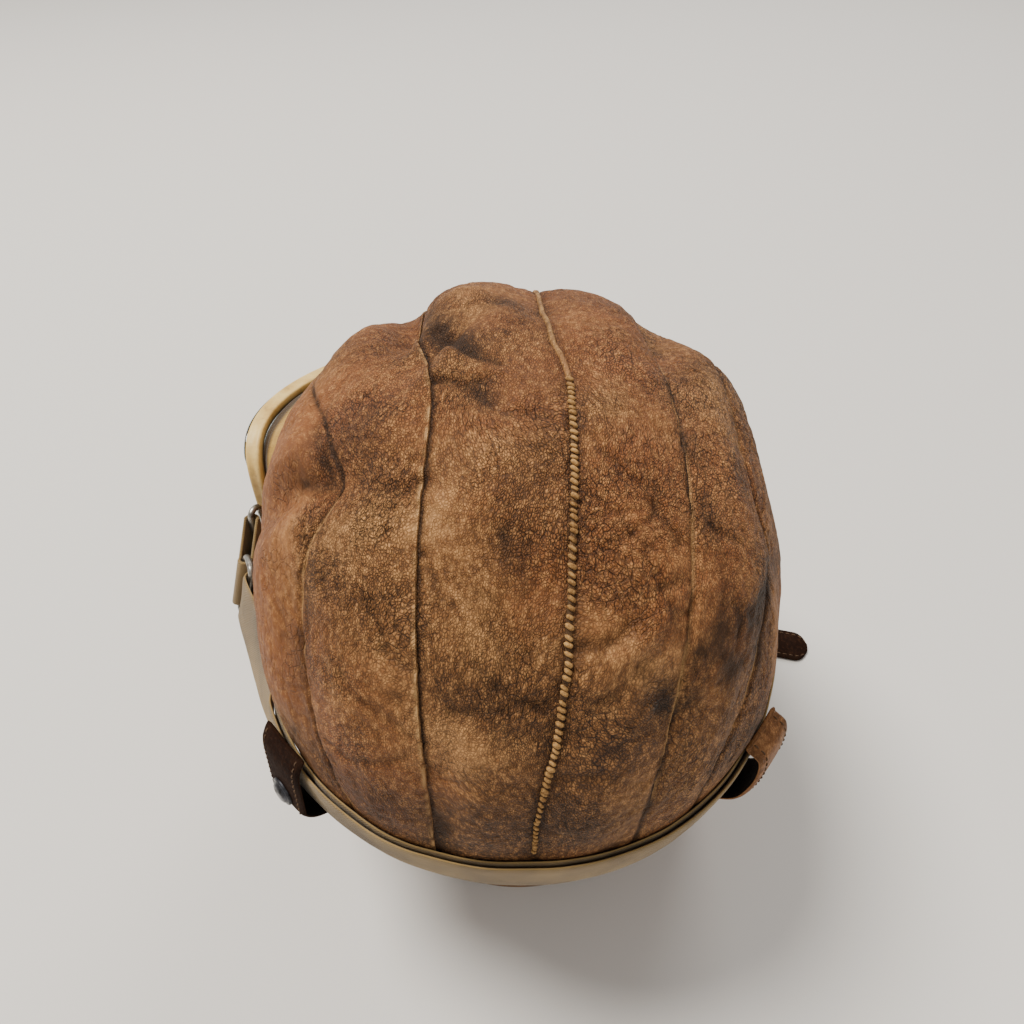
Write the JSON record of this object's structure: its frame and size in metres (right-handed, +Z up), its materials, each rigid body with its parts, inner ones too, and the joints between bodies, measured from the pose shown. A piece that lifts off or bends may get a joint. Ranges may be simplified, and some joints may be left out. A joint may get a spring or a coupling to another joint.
{
  "type": "leather flying helmet with goggles",
  "caption": "Soft leather flying helmet with panelled crown, ear flaps, neck curtain, chin strap and goggles on a webbing strap held by rear loops.",
  "frame": {"origin": "on the surface that the helmet stands on, under the middle of the whole object's box", "axes": "+Z up, +Y towards the face, -Y towards the nape, +X towards the wearer's right"},
  "size_m": [0.2708, 0.2358, 0.226],
  "materials": {
    "leather_brown": "pebbled, worn brown leather with dark and tan mottling",
    "leather_tan": "smoother tan leather, scuffed",
    "leather_dark": "very dark brown leather, dull",
    "webbing": "woven olive-khaki webbing",
    "rim": "aged cream, satin",
    "cushion": "ochre napped cloth over padding",
    "lens": "grey-tinted clear sheet",
    "steel": "dull, tarnished wire"
  },
  "bodies": {
    "root": {"gore_left_outer": "leather_brown", "gore_left_middle": "leather_brown", "gore_left_inner": "leather_brown", "gore_right_inner": "leather_brown", "gore_right_middle": "leather_brown", "gore_right_outer": "leather_brown", "crown_welt": "leather_tan", "brow_band": "leather_brown", "ear_flap_left": "leather_brown", "ear_flap_right": "leather_tan", "neck_curtain": "leather_brown", "goggle_strap": "webbing", "goggle_strap_under": "webbing", "strap_link": "webbing", "strap_loop_left": "leather_dark", "strap_loop_right": "leather_brown", "loop_snap": "steel", "strap_slide": "steel", "goggle_ring_left": "steel", "goggle_ring_right": "steel", "goggle_cushion": "cushion", "goggle_rim": "rim", "goggle_lens": "lens", "chin_strap": "leather_dark", "chin_buckle": "steel", "chin_tab": "leather_dark"}
  },
  "joints": []
}
